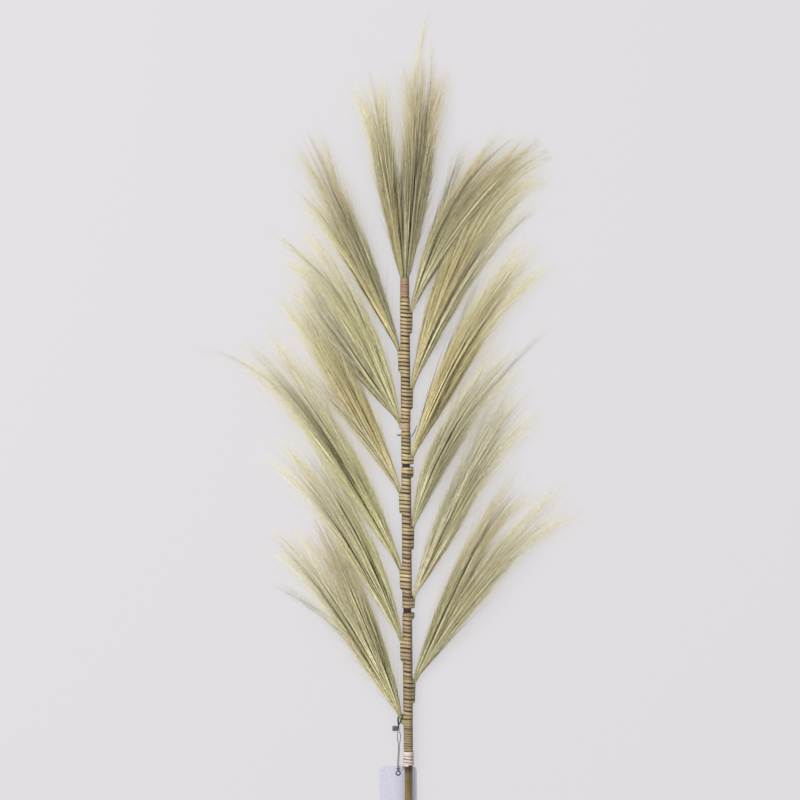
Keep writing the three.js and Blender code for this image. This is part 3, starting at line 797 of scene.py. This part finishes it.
def makeStick():
    heights = np.arange(0.0, stickLength + 0.1, stick["step"])
    heights = np.concatenate([[0.0, 0.25, 0.6], heights[1:-1],
                              [stickLength - 0.6, stickLength - 0.25, stickLength]])
    turn = np.linspace(0, 2 * math.pi, stick["sides"], endpoint=False)
    random = np.random.default_rng(3)
    ribs = sum(random.uniform(0.3, 1) * np.cos(k * turn + random.uniform(0, 6.28))
               for k in (5, 8, 13, 21))
    ribs = ribs / np.abs(ribs).max() * stick["ridge"]
    wobble = np.interp(heights, np.linspace(0, stickLength, 40),
                       random.uniform(-stick["sway"], stick["sway"] * 0.5, 40))
    radius = stickRadius - 0.1 + wobble[:, None] + ribs[None, :]
    for height, side, swell in stick["knots"]:
        around = np.angle(np.exp(1j * (turn - side)))[None, :] * stickRadius
        radius = radius + swell * np.exp(-(around ** 2 + (heights[:, None] - height) ** 2)
                                         / stick["knotSize"] ** 2 * 2)
    endings = np.minimum(heights, stickLength - heights)
    radius = radius - 0.25 * (1 - np.clip(endings / 0.6, 0, 1))[:, None] ** 2
    x = radius * np.cos(turn)
    z = axisHeight + radius * np.sin(turn)
    y = np.broadcast_to(heights[:, None], radius.shape)
    wood = loft(np.stack([x, y, z], axis=2)[:, ::-1])
    # painted shade under the wraps, where the stick shows between turns, and a painted shadow fading
    # out a little way below the band
    foot = boxOf("white_band")[0][1]
    bare = smoothStep(0, stick["fade"], foot - wood[0][:, 1])[:, None]
    coveredShade = np.array(stick["coveredShade"])
    meshPiece("stick_wood", wood, stickFinish(), replaces=("stick",),
              tint=coveredShade + (1 - coveredShade) * bare)


twigs = {
    "thornRadii": (1.2, 0.22),
    "stemRadii": (0.62, 0.3),
    "stemKnot": 0.12,          # how much it swells half way
}


def makeTwigs():
    skin = mottled("dark_twig", 0.7, 0.25, (800.0, even, 5.0),
                   [(0.3, (46, 38, 26)), (0.7, (104, 90, 62))], (0.6, 0.2))
    low, high = boxOf("thorn")
    z = axisHeight
    line = spline([(high[0] - 0.4, low[1] + 1.0, z), (-9.3, low[1] + 1.2, z),
                   (low[0], high[1] - 0.5, z)], 8)
    spike = tube(line, np.linspace(*twigs["thornRadii"], len(line)), sides=14)
    meshPiece("thorn_spike", spike, skin, replaces=("thorn",))
    low, high = boxOf("stray_stem")
    foot, tip = low[0] + 0.6, high[0] - 0.3
    line = spline([(foot, low[1] + 0.4, z), (foot + 2.6, low[1] + 4.4, z),
                   (foot + 4.9, low[1] + 8.9, z + 0.5), (tip, high[1], z + 1.5)], 8)
    swelling = np.exp(-((np.arange(len(line)) - 12) / 2.0) ** 2)
    thick = np.linspace(*twigs["stemRadii"], len(line)) + twigs["stemKnot"] * swelling
    meshPiece("stray_stem_twig", tube(line, thick, sides=12), skin,
              replaces=("stray_stem",))
    print("stick and twigs made")


makeWraps()
makeBand()
makeStick()
makeTwigs()


# Sizes are in millimetres. Shares are of a tuft's length, or of the fan's half width.
hair = {
    "neckRadius": 1.7,
    "wispNeckRadius": 0.8,
    "boundRadius": 0.5,        # where the neck is still inside the wrap
    "foot": -0.03,             # where branches start, just inside the wrap
    "plumeHeight": 24.0,
    "wispHeight": 4.0,
    "tipHeight": 4.0,
    "highest": 32.5,           # no stray rises above this
    "touchDown": 0.22,         # where the underside meets the floor
    "straight": 0.62,          # how much the fan opens straight from the neck
    "opened": 0.62,            # and the share of the length where it has done so
    "opening": 0.2,            # how far it keeps opening past its fullest
    "brush": 0.4,              # how much shorter the outermost branches are
    "lockWidth": 3.4,          # half width for each lock that the tuft parts into
    "lockReach": (0.8, 1.0),   # how far they reach; one of them goes all the way
    "gather": 0.26,            # how far a lock draws together towards its end
    "streakWidth": 1.35,       # strands of one shade run together about this wide
    "dark": 0.3,               # share of the streaks that are dark
    "mid": 0.28,               # and neither dark nor light
    "wispShare": 0.3,          # how many fibres a wisp has beside a tuft
    "strayShare": 0.05,
    "paling": (0.38, 0.92),    # where the strands turn to the tips' colour
    "levels": 14,              # shades in a tuft, from dark to light
}


def tuftLine(tuft, side, neck):
    # the middle line in plan: out of the wrap at the neck, and on past the tip for the longest
    shares = np.linspace(-0.06, 1.4, 293)
    turn = tuft["curl"] * np.clip(shares, 0, 1.1) ** tuft["bend"]
    angle = np.radians(tuft["lean"] + turn) * smoothStep(-0.03, 0.02, shares)
    stride = (shares[1] - shares[0]) * tuft["length"]
    x = np.cumsum(side * np.sin(angle)) * stride
    y = np.cumsum(np.cos(angle)) * stride
    atNeck = [np.interp(0, shares, x), np.interp(0, shares, y)]
    return shares, x - atNeck[0] + neck[0], y - atNeck[1] + neck[1], side * angle


def makeLocks(tuft, random):
    # where each lock lies across the tuft, how far it reaches and how light it is, and the
    # shades of the streaks across its lower and its upper layer
    number = 1 if tuft.get("wisp") else max(3, round(tuft["halfWidth"] / hair["lockWidth"]))
    across = np.linspace(-0.85, 0.85, number) if number > 1 else np.zeros(1)
    across = across + random.normal(0, 0.07, number) * (number > 1)
    reach = random.uniform(*hair["lockReach"], number)
    reach[random.integers(0, number)] = 1.0
    light = random.normal(0, 0.08, number)
    streaks = 2 * max(8, int(tuft["halfWidth"] * 2 / hair["streakWidth"]))
    shades = (np.arange(streaks) * 0.618 + random.normal(0, 0.16, streaks)) % 1
    return {"across": across, "reach": reach, "light": light, "shades": shades}


def nearestLock(far, locks):
    return np.abs(far[:, None] - locks["across"][None, :]).argmin(axis=1)


def shadeOf(tuft, locks, far, up, random):
    # 0 for dark to 1 for light; as painted shade, the dark ones lie deep, inward and on the shaded
    # flank
    streaks = len(locks["shades"]) // 2
    place = np.clip((far + 1) / 2 * streaks, 0, streaks - 1).astype(int)
    pick = locks["shades"][place + streaks * (up > 0.0)] + random.normal(0, 0.05, len(far))
    # painted shade: strands are dark more often low down, on the right flank and away from the edges
    dark = hair["dark"] + tuft["shade"] * 0.25 * far - 0.08 * up - 0.1 * np.abs(far)
    return np.where(pick < dark, 0.0, np.where(pick < dark + hair["mid"], 0.45, 1.0))


def closing(across):
    # the share of the length that a branch at this place across reaches
    return 1 - hair["brush"] * np.clip(np.abs(across), 0, 1) ** 1.4


def fibreCount(tuft, kind, least=2.0):
    thinned = hair["wispShare"] if tuft.get("wisp") else 1
    return int(kind["perWidth"] * max(tuft["halfWidth"], least) * thinned)


def spread(start, end, steps):
    # the shares of the length at each fibre's points
    along = np.linspace(0, 1, steps + 1)
    return along, start[:, None] + (end - start)[:, None] * along


def layersOf(kind, number, random):
    # -1 at the underside to 1 at the top
    return np.clip(random.normal(*kind["up"], number), -0.97, 0.97)


def placeFibres(tuft, side, neck, lockMiddle, share, limit, across, up, splay, lift):
    # the fibres' middle lines: share is along the tuft at each point, across and up are their
    # place in the fan, splay and lift how they stand off from it
    wisp = tuft.get("wisp", False)
    halfWidth, fullest = tuft["halfWidth"], tuft["fullest"]
    shares, lineX, lineY, lineAngle = tuftLine(tuft, side, neck)
    neckRadius = hair["wispNeckRadius"] if wisp else tuft.get("neck", hair["neckRadius"])
    bound = smoothStep(-0.03, 0.04, share)
    neckWide = hair["boundRadius"] + (neckRadius - hair["boundRadius"]) * bound
    rise = np.sin(np.clip(share / fullest, 0, 1) * math.pi / 2)
    ray = np.clip(share / hair["opened"], 0, 1)
    rise = rise + (ray - rise) * hair["straight"]
    after = np.clip((share - fullest) / (1 - fullest), 0, 1.2)
    wide = neckWide + (halfWidth - neckRadius) * rise
    fan = wide * (1 + hair["opening"] * after)
    # the locks draw together towards their ends
    together = hair["gather"] * smoothStep(0.5, 1.0, share / limit[:, None])
    across = across + (lockMiddle[:, None] * 0.9 - across) * together
    run = (share - share[:, :1]) * tuft["length"]
    bending = run * (0.4 + 0.6 * run / run[:, -1:])
    sideways = across * fan + splay[:, None] * bending
    # the underside comes down to the floor, and the top swells and sinks again
    fullHeight = hair["wispHeight"] if wisp else hair["plumeHeight"]
    drop = np.clip(share / hair["touchDown"], 0, 1)
    bottom = (axisHeight - neckWide) * (1 - drop) ** 1.5
    topStart = np.where(share < fullest, axisHeight + neckWide, hair["tipHeight"])
    full = np.where(share < fullest, np.sin(np.clip(share / fullest, 0, 1) * math.pi / 2),
                    np.cos(np.clip(after, 0, 1) * math.pi / 2))
    top = topStart + (fullHeight - topStart) * full
    # the section is round, so there is less height at its edges
    edge = np.clip(np.abs(sideways) / (wide * 1.25), 0, 0.97)
    up = up[:, None] * np.sqrt(1 - edge ** 2)
    upward = bottom + (top - bottom) * (up + 1) / 2 + lift[:, None] * run
    angle = np.interp(share, shares, lineAngle)
    x = np.interp(share, shares, lineX) + np.cos(angle) * sideways
    y = np.interp(share, shares, lineY) - np.sin(angle) * sideways
    return np.stack([x, y, np.clip(upward, 0.3, hair["highest"])], axis=2)


def fibreSkin(centre, thick, random):
    # three-sided fibres, closed at both ends
    count, rings = centre.shape[:2]
    heading = np.gradient(centre, axis=1)
    heading /= np.linalg.norm(heading, axis=2, keepdims=True)
    across = np.cross(heading, [0.0, 0.0, 1.0])
    across /= np.linalg.norm(across, axis=2, keepdims=True)
    up = np.cross(across, heading)
    spin = random.uniform(0, 6.28, count)
    corners = []
    for k in range(3):
        turned = spin - k * 2 * math.pi / 3
        corners.append(centre + around(turned[:, None], across, up) * thick[:, :, None])
    points = np.stack(corners, axis=2).reshape(-1, 3)
    points[:, 2] = np.maximum(points[:, 2], 0.05)
    firsts = np.arange(count) * rings * 3
    lasts = firsts + (rings - 1) * 3
    ring = firsts[:, None, None] + (np.arange(rings - 1) * 3)[:, None]
    corner = np.arange(3)
    after = (corner + 1) % 3
    quads = np.stack([ring + corner, ring + 3 + corner, ring + 3 + after, ring + after], axis=-1)
    triangles = np.concatenate([
        np.stack([firsts, firsts + 1, firsts + 2], axis=1),
        np.stack([lasts + 2, lasts + 1, lasts], axis=1)])
    return points, quads.reshape(-1, 4), triangles


def fibreColours(tuft, share, level):
    # dark to light by level; towards the neck's colour darkened as painted shade at the foot, the tips'
    # at the end
    tone = {part: linear(*rgb) for part, rgb in grassTones[tuft["tone"]].items()}
    for part in ("light", "mid", "dark", "neck"):
        tone[part] = tone[part] * min(tuft.get("lift", 1.0), 0.9 / tone[part].max())
    level = level[:, None, None]
    body = tone["dark"] + (tone["mid"] - tone["dark"]) * np.clip(level * 2, 0, 1)
    body = body + (tone["light"] - tone["mid"]) * np.clip(level * 2 - 1, 0, 1)
    share = share[:, :, None]
    # painted shade: the neck colour is taken darker where the strands crowd at the foot
    body = body + (tone["neck"] * 0.6 - body) * 0.5 * (1 - smoothStep(0.0, 0.25, share))
    paler = smoothStep(*hair["paling"], share) * (0.58 + 0.4 * level)
    colour = body + (tone["tip"] - body) * paler
    return np.repeat(colour[:, :, None, :], 3, axis=2).reshape(-1, 3)


branches = {
    "perWidth": 42.0,          # how many for each millimetre of a tuft's half width
    "radius": (0.2, 0.55),
    "steps": 7,
    "up": (0.05, 0.55),        # middle and spread through the tuft's depth
    "fromNeck": 0.45,          # share that start at the neck
    "wispFromNeck": 0.8,
    "length": (0.2, 0.42),     # of those that start higher up
    "straySplay": 0.04,
    "splay": 0.01,
}


def tuftBranches(tuft, side, neck, locks, random):
    # the branches rise from the neck or from along the tuft's middle, leaning outwards
    wisp = tuft.get("wisp", False)
    number = fibreCount(tuft, branches)
    rooted = branches["wispFromNeck"] if wisp else branches["fromNeck"]
    fromNeck = random.uniform(0, 1, number) < rooted
    far = np.clip(random.uniform(-1, 1, number) + random.normal(0, 0.06, number), -1.05, 1.05)
    lock = nearestLock(far, locks)
    limit = closing(far) * locks["reach"][lock]
    end = limit * (1.0 - 0.73 * random.uniform(0, 1, number) ** 0.66)
    start = np.where(fromNeck, hair["foot"], end - random.uniform(*branches["length"], number))
    start = np.maximum(start, hair["foot"])
    end = np.maximum(end, start + 0.12) * tuft.get("reach", 1.0) * (0.92 if wisp else 1.0)
    along, share = spread(start, end, branches["steps"])
    near = far * np.where(fromNeck, 0.97, random.uniform(0.7, 0.97, number))
    across = near[:, None] + (far - near)[:, None] * along ** 0.8
    up = layersOf(branches, number, random)
    stray = random.uniform(0, 1, number) < hair["strayShare"]
    splay = random.normal(0, 1, number) * np.where(stray, branches["straySplay"],
                                                   branches["splay"])
    centre = placeFibres(tuft, side, neck, locks["across"][lock], share, limit, across, up,
                         splay, np.where(stray, 0.01, 0.0))
    thin, stout = branches["radius"]
    level = shadeOf(tuft, locks, far, up, random)
    level = level + random.normal(0, 0.08, number) + locks["light"][lock]
    radius = thin + (stout - thin) * random.uniform(0, 1, number) ** 1.3
    taper = (0.55 + 0.45 * smoothStep(0, 0.3, along)) * (1 - 0.88 * smoothStep(0.4, 1, along))
    return centre, radius[:, None] * taper, share, np.clip(level, 0, 1)


fineHairs = {
    "perWidth": 95.0,
    "radius": (0.09, 0.19),
    "steps": 4,
    "up": (0.1, 0.6),
    "atTip": 0.6,              # share that end near the tip
    "length": (0.1, 0.3),
    "straySplay": 0.1,
    "splay": 0.03,
}


def tuftFineHairs(tuft, side, neck, locks, random):
    # fine hairs fringe the branches and feather the edges and tips
    wisp = tuft.get("wisp", False)
    number = fibreCount(tuft, fineHairs)
    far = random.uniform(-1.12, 1.12, number)
    lock = nearestLock(far, locks)
    limit = closing(far) * locks["reach"][lock]
    end = limit * np.clip(random.normal(0.86, 0.14, number), 0.25, 1.25)
    atTip = random.uniform(0, 1, number) < fineHairs["atTip"]
    end = np.where(atTip, end, end * random.uniform(0.3, 1.0, number))
    end = np.minimum(end, 0.9 if wisp else 1.0) * tuft.get("reach", 1.0)
    start = np.maximum(end - random.uniform(*fineHairs["length"], number), -0.02)
    along, share = spread(start, end, fineHairs["steps"])
    near = far * random.uniform(0.85, 1.0, number)
    across = near[:, None] + (far - near)[:, None] * along
    up = layersOf(fineHairs, number, random)
    outward = np.abs(random.normal(0, 1, number)) * np.sign(far)
    stray = random.uniform(0, 1, number) < hair["strayShare"]
    splay = outward * np.where(stray, fineHairs["straySplay"], fineHairs["splay"])
    centre = placeFibres(tuft, side, neck, locks["across"][lock], share,
                         np.maximum(limit, end), across, up, splay,
                         random.normal(0, 0.012, number))
    radius = random.uniform(*fineHairs["radius"], number)
    level = 0.25 + 0.65 * shadeOf(tuft, locks, far, up, random) + random.normal(0, 0.17, number)
    taper = 1 - 0.8 * smoothStep(0.2, 1, along)
    return centre, radius[:, None] * taper, share, np.clip(level, 0, 1)


floss = {
    "perWidth": 42.0,
    "radius": (0.08, 0.17),
    "steps": 6,
    "up": (0.2, 0.5),
    "length": (0.14, 0.38),
    "splay": 0.07,
    "astray": 0.25,            # share that stand off further
    "paler": 0.25,             # how much nearer the tip's colour they are
}


def tuftFloss(tuft, side, neck, locks, random):
    # loose pale hairs stand off all round, long and nearly straight
    number = fibreCount(tuft, floss, least=3.0)
    far = random.choice([-1, 1], number) * random.uniform(0.5, 1.3, number)
    lock = nearestLock(far, locks)
    start = random.uniform(0.03, 0.8, number)
    end = start + random.uniform(*floss["length"], number)
    longest = (0.8 if tuft.get("wisp") else 0.9) + 0.1 * random.uniform(0, 1, number)
    end = np.maximum(np.minimum(end, longest), start + 0.06)
    along, share = spread(start, end, floss["steps"])
    across = far[:, None] * (0.6 + 0.4 * along)
    further = 1 + 1.6 * (random.uniform(0, 1, number) < floss["astray"])
    splay = np.abs(random.normal(0, floss["splay"], number)) * np.sign(far) * further
    centre = placeFibres(tuft, side, neck, locks["across"][lock], share,
                         np.full(number, 1.4), across, layersOf(floss, number, random), splay,
                         random.normal(0, 0.02, number))
    thick = random.uniform(*floss["radius"], number)[:, None] * (1 - 0.75 * smoothStep(0.3, 1, along))
    level = np.clip(0.8 + random.normal(0, 0.2, number), 0, 1)
    return centre, thick, np.clip(share + floss["paler"], 0, 1.2), level


def bakeRows(rows, along, totalRows):
    # on the bake map a shade is a row, and a fibre's length runs across it
    low = (rows / totalRows)[:, None, None]
    high = ((rows + 1) / totalRows)[:, None, None]
    left = (0.02 + 0.96 * along[:, :-1])[:, :, None]
    right = (0.02 + 0.96 * along[:, 1:])[:, :, None]
    shape = (len(rows), along.shape[1] - 1, 3)
    corners = [(left, low), (right, low), (right, high), (left, high)]
    quadMap = np.stack([np.stack([np.broadcast_to(u, shape), np.broadcast_to(v, shape)], -1)
                        for u, v in corners], axis=-2).reshape(-1, 2)
    triangleMaps = []
    for end in (along[:, 0], along[:, -1]):
        u0 = 0.02 + 0.96 * end - 0.004
        triangleMaps.append(np.stack([
            np.stack([u0, low[:, 0, 0]], 1), np.stack([u0, high[:, 0, 0]], 1),
            np.stack([u0 + 0.008, high[:, 0, 0]], 1)], axis=1).reshape(-1, 2))
    return quadMap, np.concatenate(triangleMaps)


def makePlume(name, plume, seed):
    random = np.random.default_rng(seed)
    side = plume["side"]
    if "bound" in plume:
        out = winding["atNeck"] + passingBy(name)
        neck = (side * out, boxOf(name)[0][1] + plume["bound"])
    else:
        neck = (side * 2.6, boxOf("binding_collar")[1][1])
    parts, colours, quadMaps, triangleMaps = [], [], [], []
    totalRows = len(plume["tufts"]) * hair["levels"]
    for number, tuft in enumerate(plume["tufts"]):
        locks = makeLocks(tuft, random)
        for grow in (tuftBranches, tuftFineHairs, tuftFloss):
            centre, thick, share, level = grow(tuft, side, neck, locks, random)
            step = np.round(level * (hair["levels"] - 1))
            parts.append(fibreSkin(centre, thick, random))
            colours.append(fibreColours(tuft, share, step / (hair["levels"] - 1)))
            quadMap, triangleMap = bakeRows(step + number * hair["levels"],
                                            np.clip((share + 0.06) / 1.4, 0, 1), totalRows)
            quadMaps.append(quadMap)
            triangleMaps.append(triangleMap)
    piece = meshPiece(name + "_hair", joined(parts), grassHair,
                      replaces=(name,), tint=np.concatenate(colours),
                      bakeMap=np.concatenate(quadMaps + triangleMaps))
    return len(piece.data.polygons)


faces = sum(makePlume(name, plume, 100 + number)
            for number, (name, plume) in enumerate(plumes.items()))
print("plumes grown,", faces, "faces")


studio = {
    "floor": (112, 111, 112),
    "glow": (192, 190, 192),
    "world": 0.8,
    "worldColour": (0.97, 0.97, 1.0, 1),
    "keyPower": 86.0,
    "keyPlace": (-2100, 700, 2500),
    "keySize": 2.4,
    "fillPower": 22.0,
    "fillPlace": (2200, 300, 2400),
    "fillSize": 2.4,
}


def makeFloor():
    size = 12.0
    mesh = bpy.data.meshes.new("floor")
    corners = [(-size, -size, 0), (size, -size, 0), (size, size, 0), (-size, size, 0)]
    mesh.from_pydata(corners, [], [(0, 1, 2, 3)])
    material, _, _, shader = newFinish("pale_floor", 0.9, 0.0)
    shader.inputs["Base Color"].default_value = (*linear(*studio["floor"]), 1)
    shader.inputs["Emission Color"].default_value = (*linear(*studio["glow"]), 1)
    shader.inputs["Emission Strength"].default_value = 1.0
    mesh.materials.append(material)
    floor = bpy.data.objects.new("floor", mesh)
    bpy.context.collection.objects.link(floor)


def makeLight(name, place, size, power):
    data = bpy.data.lights.new(name, "AREA")
    data.size = size
    data.energy = power
    light = bpy.data.objects.new(name, data)
    bpy.context.collection.objects.link(light)
    light.location = toFrame(place)
    target = cameraObject.location.copy()
    target.z = 0
    light.rotation_euler = (target - light.location).to_track_quat("-Z", "Y").to_euler()


makeFloor()
over = camera["over"]
for part in ("key", "fill"):
    x, y, z = studio[part + "Place"]
    makeLight(part, (over[0] + x, over[1] + y, z), studio[part + "Size"], studio[part + "Power"])
world = bpy.data.worlds.new("studio")
world.use_nodes = True
background = world.node_tree.nodes["Background"]
background.inputs["Color"].default_value = studio["worldColour"]
background.inputs["Strength"].default_value = studio["world"]
bpy.context.scene.world = world
bpy.context.scene.view_settings.view_transform = "Standard"
print("floor and lights set")
